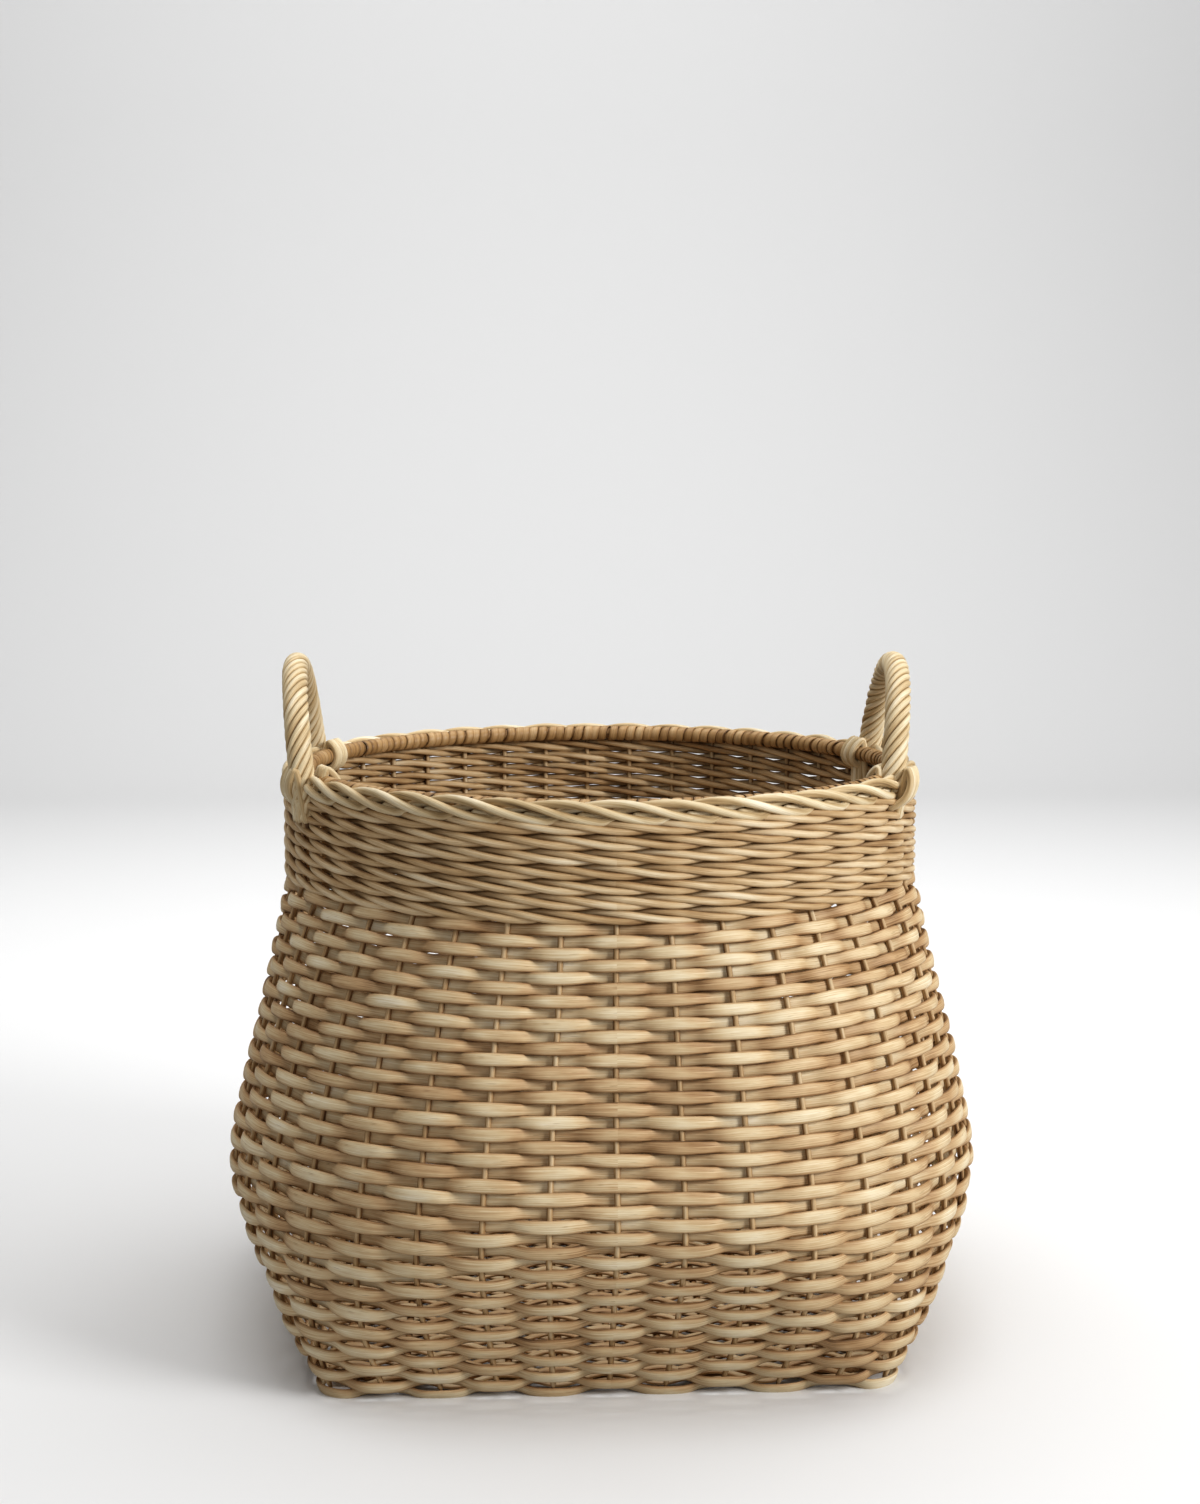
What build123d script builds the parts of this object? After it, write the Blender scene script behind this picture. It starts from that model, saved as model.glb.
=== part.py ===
"""A woven rattan basket: a rounded-square base, a squarish belly, a round neck and mouth,
and two roped bow handles.

The frame is +Z up, with the origin on the floor under the middle of the base. The handles
stand at +X and -X. All lengths are in millimetres.
"""
import math
import os

from build123d import *

os.makedirs("parts", exist_ok=True)

# Body. Each level is a rounded square: height, half its width, and its corner radius.
# The corners are tight at the floor and open out to a full circle at the neck.
# A smooth curve joins the levels, and the solids follow it in even steps of height.
LEVELS = [
    (0.0, 160.0, 28.0),
    (22.0, 174.0, 48.0),
    (51.0, 191.0, 84.0),
    (104.0, 220.0, 176.0),
    (152.0, 214.0, 174.0),
    (212.0, 200.0, 168.0),
    (270.0, 190.0, 189.9),
]
NECK_RADIUS = 190.0
NECK_HEIGHT = 270.0
BODY_STEPS = 14
WALL = 8.0
MID_WALL = WALL / 2

# Bands of weave, from the floor up: node name, bottom and top.
WEAVE_BANDS = [
    ("weave_foot", 0.0, 30.0),
    ("weave_lower", 30.0, 84.0),
    ("weave_belly", 84.0, 150.0),
    ("weave_shoulder", 150.0, 214.0),
    ("weave_neck", 214.0, NECK_HEIGHT),
]

# Stakes: the upright rods inside the weave.
STAKE_COUNT = 40
STAKES_PER_SIDE = 10
STAKE_RADIUS = 1.5
STAKE_FOOT = 4.0

# Base: rods from front to back, a rod round the edge, and the mat woven on them.
BASE_BOTTOM = 2.0
BASE_TOP = 11.0
BASE_ROD_HEIGHT = 6.5
BASE_STICK_COUNT = 9
BASE_STICK_SPACING = 29.0
BASE_STICK_RADIUS = 2.0
BASE_STICK_HALF_LENGTH = 145.0
EDGE_ROD_HALF_WIDTH = 149.5
EDGE_ROD_CORNER = 22.0
EDGE_ROD_RADIUS = 2.5

# Waled band of seven courses, and the border that closes it.
WALE_COURSES = 7
BORDER_BOTTOM = 325.0
RIM_HEIGHT = 337.0
WALE_PITCH = (BORDER_BOTTOM - NECK_HEIGHT) / WALE_COURSES
WALE_EDGE = 2.0
BORDER_OUTSIDE = 191.5

# Rim hoop and the cane wound round it.
HOOP_RADIUS = 177.5
HOOP_HEIGHT = 331.5
HOOP_ROD_RADIUS = 3.5
HOOP_WRAP_RADIUS = 4.4

# Bow handles. A front foot stands in the wall beside the third stake from the X axis, and a
# back foot beside the second, so each handle's middle is a little nearer the front.
FOOT_RADIUS = 187.0
FRONT_FOOT_AZIMUTH = 25.5
BACK_FOOT_AZIMUTH = 19.5
APEX_RADIUS = 179.4
APEX_HEIGHT = 392.5
CORE_RADIUS = 3.5
LEG_RADIUS = 2.1
LEG_BOTTOM = 292.0
ROPE_RADIUS = 7.5

# Ties at each handle foot: the roping ends that go down outside the border and inside it.
TIE_WIDTH = 14.0
TIE_THICKNESS = 4.0
TIE_GAP = 0.3
OUTER_TIE_DEPTH = 7.0
INNER_TIE_RADIUS = 8.0
INNER_TIE_OPEN = (-60.0, 80.0)


def slope(index, column):
    """How fast a level's half-width or corner radius changes with height."""
    below = LEVELS[max(index - 1, 0)]
    above = LEVELS[min(index + 1, len(LEVELS) - 1)]
    return (above[column] - below[column]) / (above[0] - below[0])


def level_at(height):
    """Rounded square at any height: a cubic between the two driving levels beside it."""
    index = max(i for i in range(len(LEVELS) - 1) if LEVELS[i][0] <= height)
    below, above = LEVELS[index], LEVELS[index + 1]
    span = above[0] - below[0]
    t = (height - below[0]) / span
    start, end = 2 * t**3 - 3 * t**2 + 1, 3 * t**2 - 2 * t**3
    leave, arrive = span * (t**3 - 2 * t**2 + t), span * (t**3 - t**2)
    half_width, corner = (
        start * below[column] + end * above[column]
        + leave * slope(index, column) + arrive * slope(index + 1, column)
        for column in (1, 2)
    )
    return height, half_width, corner


def body_levels(bottom):
    """Rounded squares in even steps of height, the first of them at bottom."""
    step = (NECK_HEIGHT - bottom) / BODY_STEPS
    return [level_at(bottom + step * number) for number in range(BODY_STEPS + 1)]


def outline_point(level, inset, fraction):
    """Point at a fraction of the way round a level's rounded square, drawn in by inset.

    The way starts at the middle of the front and runs towards +X. Each side is a straight
    run, a quarter circle and a straight run, and the other sides are turned copies of it.
    """
    height, half_width, corner = level
    radius = corner - inset
    straight = half_width - corner
    side = 2 * straight + radius * math.pi / 2
    quarter = math.floor(4 * fraction)
    along = (4 * fraction - quarter) * side
    if along < straight:
        x, y = along, -(half_width - inset)
    elif along < straight + radius * math.pi / 2:
        turn = (along - straight) / radius
        x, y = straight + radius * math.sin(turn), -(straight + radius * math.cos(turn))
    else:
        x, y = half_width - inset, along - side
    return Vector(x, y, height).rotate(Axis.Z, 90 * quarter)


def body_outline(inset):
    """The solid form of the body below the neck, drawn in by inset from the outside."""
    with BuildPart() as body:
        for height, half_width, corner in body_levels(0):
            width = 2 * (half_width - inset)
            with BuildSketch(Plane.XY.offset(height)):
                RectangleRounded(width, width, corner - inset)
        loft()
    return body.part


def tangent_path(points):
    """Straight runs between points, joined by arcs as large as the runs allow."""
    radii = []
    for before, corner, after in zip(points, points[1:], points[2:]):
        run_in, run_out = corner - before, after - corner
        shorter = min(run_in.length, run_out.length)
        turn = math.radians(run_in.get_angle(run_out))
        radii.append(0.45 * shorter / math.tan(turn / 2))
    return FilletPolyline(*points, radius=radii)


def radial_plane(azimuth):
    """Upright plane through the basket's axis: its x runs outwards and its y runs up."""
    angle = math.radians(azimuth)
    outwards = (math.cos(angle), math.sin(angle), 0)
    sideways = (math.sin(angle), -math.cos(angle), 0)
    return Plane(origin=(0, 0, 0), x_dir=outwards, z_dir=sideways)


# --- stakes -------------------------------------------------------------------------------
def stake(number):
    """One stake, in the middle of the wall from the base to the underside of the border."""
    fraction = number / STAKE_COUNT
    points = [outline_point(level, MID_WALL, fraction) for level in body_levels(STAKE_FOOT)]
    points.append(Vector(points[-1].X, points[-1].Y, BORDER_BOTTOM))
    with BuildPart() as rod:
        with BuildLine() as path:
            tangent_path(points)
        with BuildSketch(Plane(origin=path.line @ 0, z_dir=path.line % 0)):
            Circle(STAKE_RADIUS)
        sweep()
    return rod.part


with BuildPart() as side_stakes:
    for number in range(STAKES_PER_SIDE):
        if number == STAKES_PER_SIDE // 2:
            continue
        with PolarLocations(0, 4):
            add(stake(number))
side_stakes.part.label = "side_stakes"
export_step(side_stakes.part, "parts/side_stakes.step")

with BuildPart() as corner_stakes:
    with PolarLocations(0, 4):
        add(stake(STAKES_PER_SIDE // 2))
corner_stakes.part.label = "corner_stakes"
export_step(corner_stakes.part, "parts/corner_stakes.step")


# --- base ---------------------------------------------------------------------------------
with BuildPart() as base_sticks:
    with BuildSketch(Plane.XZ.offset(-BASE_STICK_HALF_LENGTH)):
        with Locations((0, BASE_ROD_HEIGHT)):
            with GridLocations(BASE_STICK_SPACING, 0, BASE_STICK_COUNT, 1):
                Circle(BASE_STICK_RADIUS)
    extrude(amount=2 * BASE_STICK_HALF_LENGTH)
base_sticks.part.label = "base_sticks"
export_step(base_sticks.part, "parts/base_sticks.step")

with BuildPart() as base_edge_rod:
    with BuildLine() as edge_loop:
        straight = EDGE_ROD_HALF_WIDTH - EDGE_ROD_CORNER
        for turn in range(4):
            corner_plane = Plane.XY.offset(BASE_ROD_HEIGHT).rotated((0, 0, 90 * turn))
            start = corner_plane.from_local_coords(Vector(-straight, -EDGE_ROD_HALF_WIDTH))
            end = corner_plane.from_local_coords(Vector(straight, -EDGE_ROD_HALF_WIDTH))
            middle = corner_plane.from_local_coords(Vector(straight, -straight))
            Line(start, end)
            CenterArc(middle, EDGE_ROD_CORNER, 90 * turn - 90, 90)
    with BuildSketch(Plane(origin=edge_loop.line @ 0, z_dir=edge_loop.line % 0)):
        Circle(EDGE_ROD_RADIUS)
    sweep()
base_edge_rod.part.label = "base_edge_rod"
export_step(base_edge_rod.part, "parts/base_edge_rod.step")

cavity = body_outline(WALL)
with BuildPart() as base_weave:
    add(cavity)
    split(bisect_by=Plane.XY.offset(BASE_BOTTOM), keep=Keep.TOP)
    split(bisect_by=Plane.XY.offset(BASE_TOP), keep=Keep.BOTTOM)
    add(base_sticks.part, mode=Mode.SUBTRACT)
    add(base_edge_rod.part, mode=Mode.SUBTRACT)
base_weave.part.label = "base_weave"
export_step(base_weave.part, "parts/base_weave.step")


# --- woven wall ---------------------------------------------------------------------------
with BuildPart() as woven_wall:
    add(body_outline(0))
    add(cavity, mode=Mode.SUBTRACT)

for name, bottom, top in WEAVE_BANDS:
    with BuildPart() as weave_band:
        add(woven_wall.part)
        if bottom > 0:
            split(bisect_by=Plane.XY.offset(bottom), keep=Keep.TOP)
        if top < NECK_HEIGHT:
            split(bisect_by=Plane.XY.offset(top), keep=Keep.BOTTOM)
        add(side_stakes.part, mode=Mode.SUBTRACT)
        add(corner_stakes.part, mode=Mode.SUBTRACT)
    weave_band.part.label = name
    export_step(weave_band.part, f"parts/{name}.step")


# --- waled band ---------------------------------------------------------------------------
def handle_foot(side, end):
    """Where a handle's core enters the wall: side is +1 or -1 along X, end is -1 in front."""
    angle = math.radians(FRONT_FOOT_AZIMUTH if end < 0 else BACK_FOOT_AZIMUTH)
    return Vector(side * FOOT_RADIUS * math.cos(angle), end * FOOT_RADIUS * math.sin(angle), RIM_HEIGHT)


HANDLE_FEET = [handle_foot(side, end) for side in (-1, 1) for end in (-1, 1)]

with BuildPart() as handle_legs:
    for foot in HANDLE_FEET:
        with BuildSketch(Plane(origin=(foot.X, foot.Y, LEG_BOTTOM))):
            Circle(LEG_RADIUS)
        extrude(amount=RIM_HEIGHT - LEG_BOTTOM)

for course in range(WALE_COURSES):
    name = f"wale_course_{course + 1}"
    course_top = BORDER_BOTTOM - course * WALE_PITCH
    with BuildPart() as wale_course:
        with BuildSketch(Plane.XZ) as section:
            with Locations((NECK_RADIUS - MID_WALL, course_top - WALE_PITCH / 2)):
                RectangleRounded(WALL, WALE_PITCH, WALE_EDGE)
        revolve(axis=Axis.Z)
        add(side_stakes.part, mode=Mode.SUBTRACT)
        add(corner_stakes.part, mode=Mode.SUBTRACT)
        add(handle_legs.part, mode=Mode.SUBTRACT)
    wale_course.part.label = name
    export_step(wale_course.part, f"parts/{name}.step")


# --- border, hoop and wrapping ------------------------------------------------------------
with BuildPart() as rolled_border:
    with BuildSketch(Plane.XZ) as section:
        border_width = BORDER_OUTSIDE - (NECK_RADIUS - WALL)
        border_depth = RIM_HEIGHT - BORDER_BOTTOM
        with Locations((BORDER_OUTSIDE - border_width / 2, BORDER_BOTTOM + border_depth / 2)):
            Rectangle(border_width, border_depth)
        fillet(section.vertices().group_by(Axis.Y)[-1], radius=border_width * 0.42)
    revolve(axis=Axis.Z)
    add(handle_legs.part, mode=Mode.SUBTRACT)
rolled_border.part.label = "rolled_border"
export_step(rolled_border.part, "parts/rolled_border.step")

with BuildPart() as rim_hoop:
    with BuildSketch(Plane.XZ) as section:
        with Locations((HOOP_RADIUS, HOOP_HEIGHT)):
            Circle(HOOP_ROD_RADIUS)
    revolve(axis=Axis.Z)
rim_hoop.part.label = "rim_hoop"
export_step(rim_hoop.part, "parts/rim_hoop.step")

with BuildPart() as hoop_wrapping:
    with BuildSketch(Plane.XZ) as section:
        with Locations((HOOP_RADIUS, HOOP_HEIGHT)):
            Circle(HOOP_WRAP_RADIUS)
            Circle(HOOP_ROD_RADIUS, mode=Mode.SUBTRACT)
    revolve(axis=Axis.Z)
hoop_wrapping.part.label = "hoop_wrapping"
export_step(hoop_wrapping.part, "parts/hoop_wrapping.step")


# --- handles ------------------------------------------------------------------------------
def bow(side, outer_radius, inner_radius):
    """Round bar or tube along a handle's arch, cut off level with the top of the border."""
    forward = math.radians((FRONT_FOOT_AZIMUTH - BACK_FOOT_AZIMUTH) / 2)
    apex_x, apex_y = side * APEX_RADIUS * math.cos(forward), -APEX_RADIUS * math.sin(forward)
    apex = Vector(apex_x, apex_y, APEX_HEIGHT)
    with BuildPart() as bar:
        with BuildLine() as arch:
            ThreePointArc(handle_foot(side, -1), apex, handle_foot(side, 1))
        start = arch.line @ 0 - (arch.line % 0) * ROPE_RADIUS
        end = arch.line @ 1 + (arch.line % 1) * ROPE_RADIUS
        with BuildLine() as path:
            Line(start, arch.line @ 0)
            add(arch.line)
            Line(arch.line @ 1, end)
        with BuildSketch(Plane(origin=start, z_dir=arch.line % 0)):
            Circle(outer_radius)
            if inner_radius > 0:
                Circle(inner_radius, mode=Mode.SUBTRACT)
        sweep(path=path.line)
        split(bisect_by=Plane.XY.offset(RIM_HEIGHT), keep=Keep.TOP)
    return bar.part


def foot_azimuths(side):
    """Directions of a handle's two feet from the basket's axis, in degrees."""
    if side > 0:
        return (-FRONT_FOOT_AZIMUTH, BACK_FOOT_AZIMUTH)
    return (180 - BACK_FOOT_AZIMUTH, 180 + FRONT_FOOT_AZIMUTH)


for side, side_name in ((-1, "left"), (1, "right")):
    with BuildPart() as handle_core:
        add(bow(side, CORE_RADIUS, 0))
        for foot in HANDLE_FEET:
            if foot.X * side > 0:
                with BuildSketch(Plane(origin=(foot.X, foot.Y, LEG_BOTTOM))):
                    Circle(LEG_RADIUS)
                extrude(amount=RIM_HEIGHT - LEG_BOTTOM)
    handle_core.part.label = f"handle_core_{side_name}"
    export_step(handle_core.part, f"parts/handle_core_{side_name}.step")

    with BuildPart() as handle_roping:
        add(bow(side, ROPE_RADIUS, CORE_RADIUS))
    handle_roping.part.label = f"handle_roping_{side_name}"
    export_step(handle_roping.part, f"parts/handle_roping_{side_name}.step")

    with BuildPart() as outer_ties:
        face = BORDER_OUTSIDE + TIE_GAP
        under_border = BORDER_BOTTOM - TIE_GAP
        for azimuth in foot_azimuths(side):
            with BuildSketch(radial_plane(azimuth)):
                with Locations((face, under_border)):
                    Rectangle(TIE_THICKNESS, RIM_HEIGHT - under_border, align=(Align.MIN, Align.MIN))
                with Locations((face + TIE_THICKNESS, under_border)):
                    inwards = TIE_THICKNESS + face - NECK_RADIUS - TIE_GAP
                    Rectangle(inwards, OUTER_TIE_DEPTH, align=(Align.MAX, Align.MAX))
            extrude(amount=TIE_WIDTH / 2, both=True)
    outer_ties.part.label = f"outer_ties_{side_name}"
    export_step(outer_ties.part, f"parts/outer_ties_{side_name}.step")

    with BuildPart() as inner_ties:
        reach = 2 * INNER_TIE_RADIUS
        for azimuth in foot_azimuths(side):
            with BuildSketch(radial_plane(azimuth)):
                with Locations((HOOP_RADIUS, HOOP_HEIGHT)):
                    Circle(INNER_TIE_RADIUS)
                    Circle(HOOP_WRAP_RADIUS + TIE_GAP, mode=Mode.SUBTRACT)
                    with BuildLine():
                        low, high = (math.radians(angle) for angle in INNER_TIE_OPEN)
                        low_point = (reach * math.cos(low), reach * math.sin(low))
                        high_point = (reach * math.cos(high), reach * math.sin(high))
                        Polyline((0, 0), low_point, (reach, 0), high_point, close=True)
                    make_face(mode=Mode.SUBTRACT)
            extrude(amount=TIE_WIDTH / 2, both=True)
    inner_ties.part.label = f"inner_ties_{side_name}"
    export_step(inner_ties.part, f"parts/inner_ties_{side_name}.step")
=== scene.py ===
import math

import bpy
import numpy as np
from mathutils import Matrix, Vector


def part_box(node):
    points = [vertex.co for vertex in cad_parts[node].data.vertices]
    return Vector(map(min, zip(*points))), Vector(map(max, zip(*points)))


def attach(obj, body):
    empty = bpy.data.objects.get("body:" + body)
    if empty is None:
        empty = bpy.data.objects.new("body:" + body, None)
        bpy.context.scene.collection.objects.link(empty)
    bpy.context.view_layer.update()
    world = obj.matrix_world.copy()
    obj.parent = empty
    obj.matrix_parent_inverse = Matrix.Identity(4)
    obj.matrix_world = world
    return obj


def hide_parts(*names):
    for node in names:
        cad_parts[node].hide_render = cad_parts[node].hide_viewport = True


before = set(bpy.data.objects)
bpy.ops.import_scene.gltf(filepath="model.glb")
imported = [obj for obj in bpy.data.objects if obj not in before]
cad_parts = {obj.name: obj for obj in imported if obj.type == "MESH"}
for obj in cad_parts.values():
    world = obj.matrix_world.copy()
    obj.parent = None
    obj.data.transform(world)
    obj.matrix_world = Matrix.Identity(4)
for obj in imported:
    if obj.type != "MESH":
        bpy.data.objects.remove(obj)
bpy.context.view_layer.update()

# --- Side stakes ---------------------------------------------------------------------------
# Forty peeled round rattan rods stand in the middle of the wall, evenly round the basket.
# Every row is woven on them. They are pushed into the base and bend with the body.
MM = 0.001
STAKES = 40
STAKE_WIDTH = 3.3 * MM
band_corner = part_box("wale_course_1")[1]
NECK_RADIUS = band_corner.x
NECK_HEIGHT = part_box("weave_neck")[1].z
BAND_TOP = band_corner.z
RIM_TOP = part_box("rolled_border")[1].z
MID_WALL = 4.0 * MM
# The body's outline at seven levels, as shares of the neck's height and radius. Its corners
# are shares of the half-width: tight at the floor, a full circle at the neck.
LEVEL_HEIGHTS = np.array([0, 0.0815, 0.189, 0.385, 0.563, 0.785, 1])
LEVEL_WIDTHS = np.array([0.860, 0.928, 1.015, 1.162, 1.126, 1.053, 1])
LEVEL_CORNERS = np.array([0.145, 0.27, 0.44, 0.80, 0.813, 0.84, 0.999])
# The foot stands a little to the left of the mouth, as a hand-woven basket does.
FOOT_SHIFT = -2.0 * MM


def cubic_through(where, places, values):
    """Smooth curve through the values: between two places it is the cubic that leaves and
    arrives with the slope between each place's neighbours. A value may be a point."""
    places, values = np.asarray(places, float), np.asarray(values, float)
    wide = (1,) * (values.ndim - 1)
    gaps = np.diff(places).reshape(-1, *wide)
    steps = np.diff(values, axis=0)
    inner = (steps[1:] + steps[:-1]) / (gaps[1:] + gaps[:-1])
    slopes = np.concatenate([steps[:1] / gaps[:1], inner, steps[-1:] / gaps[-1:]])
    i = np.clip(np.searchsorted(places, where) - 1, 0, len(places) - 2)
    span = gaps[i]
    t = ((where - places[i]).reshape(i.shape + wide)) / span
    ahead = t * t * (3 - 2 * t)
    bend = span * t * (1 - t) * ((1 - t) * slopes[i] - t * slopes[i + 1])
    return values[i] * (1 - ahead) + values[i + 1] * ahead + bend


def outline(turn, height, out):
    """Point round the rounded square at a height, out from the middle of the wall. turn is
    the share of the way round, from the front's middle towards +X: each side is a straight
    run, a quarter circle and a straight run, turned by quarters."""
    turn, height = np.broadcast_arrays(turn, height)
    share = np.clip(height / NECK_HEIGHT, 0, 1)
    half = NECK_RADIUS * cubic_through(share, LEVEL_HEIGHTS, LEVEL_WIDTHS)
    corner = half * cubic_through(share, LEVEL_HEIGHTS, LEVEL_CORNERS)
    straight = half - corner
    corner = corner + out - MID_WALL
    side = 2 * straight + corner * math.pi / 2
    quarter = np.floor(4 * turn)
    along = (4 * turn - quarter) * side
    angle = np.clip((along - straight) / corner, 0, math.pi / 2)
    lead = np.minimum(along, straight)
    tail = np.maximum(along - straight - corner * math.pi / 2, 0)
    x = lead + corner * np.sin(angle)
    y = tail - straight - corner * np.cos(angle)
    c, s = np.cos(quarter * math.pi / 2), np.sin(quarter * math.pi / 2)
    shift = FOOT_SHIFT * (1 - share) ** 1.5
    return np.stack([x * c - y * s + shift, x * s + y * c, height + 0 * x], -1)


def unit(vectors):
    """The vectors, each divided by its own length."""
    return vectors / np.linalg.norm(vectors, axis=-1, keepdims=True)


def on_wall(turn, height, out=0.0, rise=0.0):
    """Point at a turn and height, moved out along the wall's normal and up along its slope,
    and the normal there. The slope and the way round come from points a step each side."""
    step = 0.5 * MM
    turn, height = np.broadcast_arrays(turn, height)
    round_way = outline(turn + 1e-4, height, 0) - outline(turn - 1e-4, height, 0)
    up = unit(outline(turn, height + step, 0) - outline(turn, height - step, 0))
    normal = unit(np.cross(round_way, up))
    out, rise = np.asarray(out)[..., None], np.asarray(rise)[..., None]
    return outline(turn, height, 0) + out * normal + rise * up, normal


def wander(where, knots, seed, rows=None):
    """Smooth seeded noise from about -1 to 1: random values at even knots round a loop, with
    a cosine between each two. where runs from 0 to 1 round the loop."""
    rng = np.random.default_rng(seed)
    values = rng.uniform(-1, 1, (knots,) if rows is None else (rows, knots))
    place = (np.asarray(where) % 1.0) * knots
    i = np.floor(place).astype(int) % knots
    ease = 0.5 - 0.5 * np.cos(math.pi * (place - np.floor(place)))
    here, after = (
        (values[i], values[(i + 1) % knots])
        if rows is None
        else (
            np.take_along_axis(values, np.broadcast_to(i, (rows, i.shape[-1])), 1),
            np.take_along_axis(values, np.broadcast_to((i + 1) % knots, (rows, i.shape[-1])), 1),
        )
    )
    return here * (1 - ease) + after * ease


EDGE_SHADE = 0.55  # painted shade: how much tone a strand loses at its edges, where it lies against its neighbours
STREAK_SHIFT = 0.37  # metres of streaks between one strand and the next


def strands(paths, outwards, width, thickness, tone, closed=False, sides=12, oval=2.0,
            twist=0.0, edge_shade=EDGE_SHADE):
    """Rods carried along paths, shape (strands, stations, 3). The section is a superellipse
    of that width, across the path, and thickness, along outwards: each half-axis times the
    cosine or sine to the power 2 / oval. twist turns it about the path. Open ends are
    rounded off and closed with a fan. The tone falls off towards a strand's two edges, by the
    fourth power of how far out they are: painted shade where strands lie together. Returns
    points, quads, triangles, UV in metres (along the strand and round it) for every corner,
    and the tone of every point."""
    paths = np.asarray(paths, float)
    count, stations = paths.shape[:2]
    outwards = np.broadcast_to(outwards, paths.shape)
    if closed:
        tangent = np.roll(paths, -1, 1) - np.roll(paths, 1, 1)
    else:
        tangent = np.gradient(paths, axis=1)
    tangent = unit(tangent)
    across = unit(np.cross(outwards, tangent))
    outwards = np.cross(tangent, across)
    twist = np.broadcast_to(twist, (count, stations))[..., None]
    across, outwards = (
        across * np.cos(twist) + outwards * np.sin(twist),
        outwards * np.cos(twist) - across * np.sin(twist),
    )
    angle = 2 * math.pi * np.arange(sides) / sides
    power = 2 / oval
    flat = np.sign(np.cos(angle)) * np.abs(np.cos(angle)) ** power / 2
    deep = np.sign(np.sin(angle)) * np.abs(np.sin(angle)) ** power / 2
    width = np.broadcast_to(width, (count, stations))
    thickness = np.broadcast_to(thickness, (count, stations))
    if not closed:
        ends = np.ones(stations)
        ends[[0, -1]], ends[[1, -2]] = 0.55, 0.9
        width, thickness = width * ends, thickness * ends
    points = (
        paths[:, :, None]
        + (width[..., None] * flat)[..., None] * across[:, :, None]
        + (thickness[..., None] * deep)[..., None] * outwards[:, :, None]
    )
    runs = stations if closed else stations - 1
    i, j = np.meshgrid(np.arange(runs), np.arange(sides), indexing="ij")
    i2, j2 = (i + 1) % stations, (j + 1) % sides
    quad = np.stack([i * sides + j, i * sides + j2, i2 * sides + j2, i2 * sides + j], -1)
    quads = quad.reshape(-1, 4)[None] + (np.arange(count) * stations * sides)[:, None, None]
    length = np.linalg.norm(np.diff(paths, axis=1, append=paths[:, :1]), axis=-1)
    along = np.concatenate([np.zeros((count, 1)), np.cumsum(length, 1)], 1)
    along = along + np.arange(count)[:, None] * STREAK_SHIFT
    girth = (width.mean() + thickness.mean()) * 1.6
    u = along[:, np.stack([i, i, i + 1, i + 1], -1)]
    v = np.broadcast_to(girth * np.stack([j, j + 1, j + 1, j], -1) / sides, u.shape)
    uv = np.stack([u, v], -1).reshape(-1, 2)
    points = points.reshape(-1, 3)
    # Painted shade: the tone drops towards a strand's two edges, where its neighbours would shade
    # it.
    tone = np.broadcast_to(tone, (count, stations))[..., None] - edge_shade * np.cos(angle) ** 4
    tone = tone.reshape(-1)
    triangles = np.zeros((0, 3), int)
    if not closed:
        tips = paths[:, [0, -1]].reshape(-1, 3)
        first = np.arange(count * 2) // 2 * stations * sides
        first = first + (np.arange(count * 2) % 2) * (stations - 1) * sides
        k = np.arange(sides)
        rim, rim2 = first[:, None] + k, first[:, None] + (k + 1) % sides
        tip = np.broadcast_to(len(points) + np.arange(count * 2)[:, None], rim.shape)
        at_end = (np.arange(count * 2) % 2 == 1)[:, None]
        triangles = np.stack(
            [np.where(at_end, rim, rim2), np.where(at_end, rim2, rim), tip], -1
        ).reshape(-1, 3)
        points = np.concatenate([points, tips])
        tone = np.concatenate([tone, tone[first]])
        uv = np.concatenate([uv, np.zeros((len(triangles) * 3, 2))])
    return points, quads.reshape(-1, 4), triangles, uv, tone


def piece(name, material, cad_nodes, slot, *parts):
    """Makes one object from the arrays of strands(): it rides on the basket, stands for its
    CAD nodes, and carries the UV map "strand" and the point attribute "tone"."""
    points, quads, triangles, uv, tone, shift = [], [], [], [], [], 0
    for part in parts:
        points.append(part[0])
        quads.append(part[1] + shift)
        triangles.append(part[2] + shift)
        split = len(part[1]) * 4
        uv.append((part[3][:split], part[3][split:]))
        tone.append(part[4])
        shift += len(part[0])
    points, quads, triangles = map(np.concatenate, (points, quads, triangles))
    corners = np.concatenate([quads.ravel(), triangles.ravel()])
    starts = np.concatenate(
        [np.arange(len(quads)) * 4, len(quads) * 4 + np.arange(len(triangles)) * 3]
    )
    mesh = bpy.data.meshes.new(name)
    mesh.vertices.add(len(points))
    mesh.vertices.foreach_set("co", points.astype(np.float32).ravel())
    mesh.loops.add(len(corners))
    mesh.loops.foreach_set("vertex_index", corners.astype(np.int32))
    mesh.polygons.add(len(starts))
    mesh.polygons.foreach_set("loop_start", starts.astype(np.int32))
    mesh.update(calc_edges=True)
    mesh.polygons.foreach_set("use_smooth", np.ones(len(starts), bool))
    layer = mesh.uv_layers.new(name="strand")
    flat = np.concatenate([q for q, _ in uv] + [t for _, t in uv])
    layer.data.foreach_set("uv", flat.astype(np.float32).ravel())
    shade = mesh.attributes.new("tone", "FLOAT", "POINT")
    shade.data.foreach_set("value", np.concatenate(tone).astype(np.float32))
    mesh.materials.append(material)
    made = bpy.data.objects.new(name, mesh)
    bpy.context.scene.collection.objects.link(made)
    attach(made, "root")
    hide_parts(*cad_nodes)


def linear(hex_colour):
    """An sRGB hex colour as linear RGBA."""
    srgb = np.array([int(hex_colour[i:i + 2], 16) for i in (1, 3, 5)]) / 255
    rgb = np.where(srgb <= 0.04045, srgb / 12.92, ((srgb + 0.055) / 1.055) ** 2.4)
    return (*rgb.tolist(), 1.0)


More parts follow.
